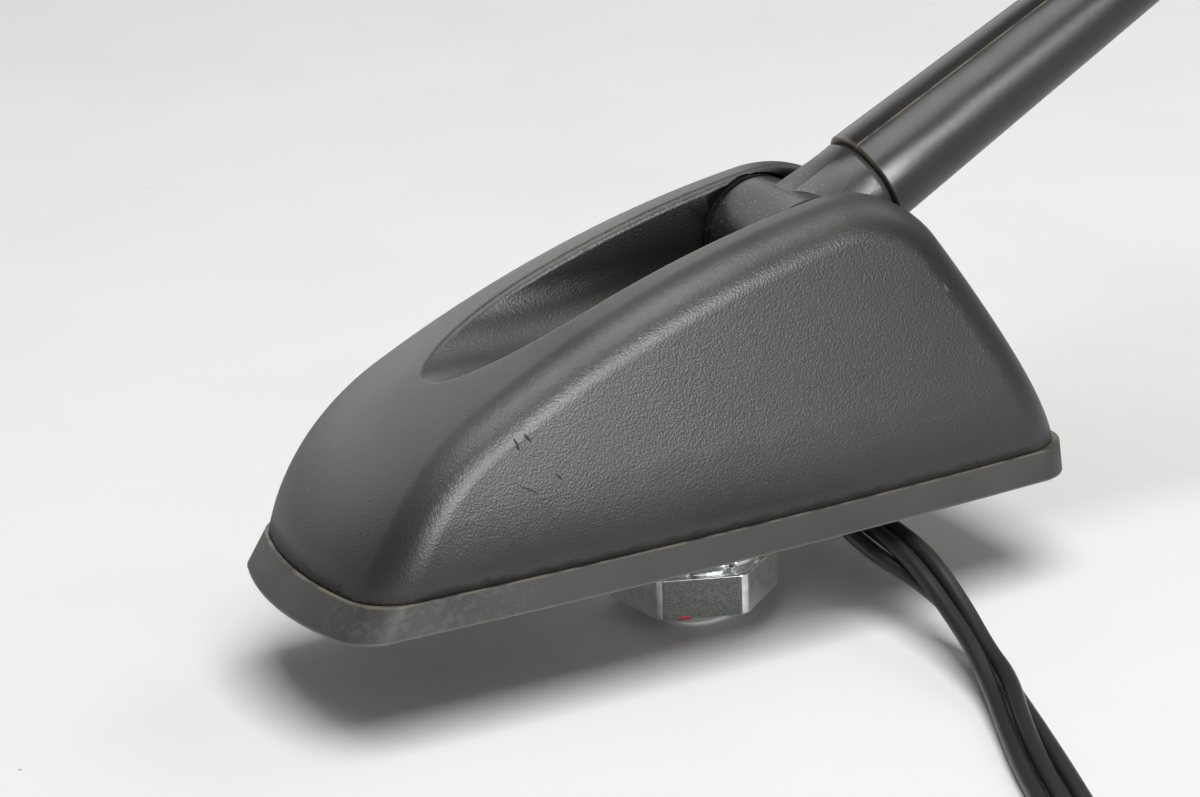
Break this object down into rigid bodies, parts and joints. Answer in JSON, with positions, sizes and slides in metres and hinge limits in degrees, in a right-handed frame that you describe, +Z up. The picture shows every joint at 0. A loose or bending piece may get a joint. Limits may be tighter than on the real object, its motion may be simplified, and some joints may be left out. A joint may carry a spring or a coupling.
{
  "type": "car roof antenna",
  "caption": "Car roof antenna: a rounded plastic base with a rubber gasket, a stud and nut below, cable tails, and a rod mast on a hinge that folds forward into a channel.",
  "frame": {"origin": "on the mounting stud's axis, at the gasket's underside, which is the car roof's surface", "axes": "+X from nose to tail along the car, +Y to the far side, +Z up from the roof"},
  "size_m": [0.2701, 0.1859, 0.1524],
  "materials": {
    "cover_plastic": "fine leather grain, dusty",
    "gasket_rubber": "dull moulded rubber",
    "cast_base": "die-cast",
    "cast_bracket": "die-cast",
    "zinc_steel": "bright zinc plating",
    "disc_plastic": "satin, dusty",
    "knuckle_plastic": "satin",
    "mast_plastic": "smooth satin",
    "ring_rubber": "matt",
    "brass": "turned",
    "board_laminate": "solder mask",
    "patch_ceramic": "fired, plated top",
    "tinned_steel": "tinned",
    "cable_jacket": "satin jacket",
    "plug_plastic": "moulded"
  },
  "bodies": {
    "base": {"cover": "cover_plastic", "base_gasket": "gasket_rubber", "base_plate": "cast_base", "hinge_bracket": "cast_bracket", "hinge_pin": "zinc_steel", "pin_clips": "zinc_steel", "friction_discs": "disc_plastic", "mounting_nut": "zinc_steel", "tooth_washer": "zinc_steel", "circuit_board": "board_laminate", "shield_can": "tinned_steel", "satellite_patch": "patch_ceramic", "contact_strip": "brass", "cover_screws": "zinc_steel", "bracket_screws": "zinc_steel", "board_screws": "zinc_steel", "cable_boot": "gasket_rubber", "radio_cable": "cable_jacket", "satellite_cable": "cable_jacket", "phone_cable": "cable_jacket", "radio_plug": "plug_plastic", "satellite_plug": "plug_plastic", "phone_plug": "plug_plastic"},
    "mast": {"hinge_knuckle": "knuckle_plastic", "collar_ring": "ring_rubber", "mast_sheath": "mast_plastic", "mast_ferrule": "brass", "radiator_rod": "brass"}
  },
  "joints": [
    {"name": "mast_tilt", "type": "hinge", "parent": "base", "child": "mast", "pos_m": [0.018, 0, 0.0394], "axis": [0, -1, 0], "range_deg": [0, 150]}
  ]
}
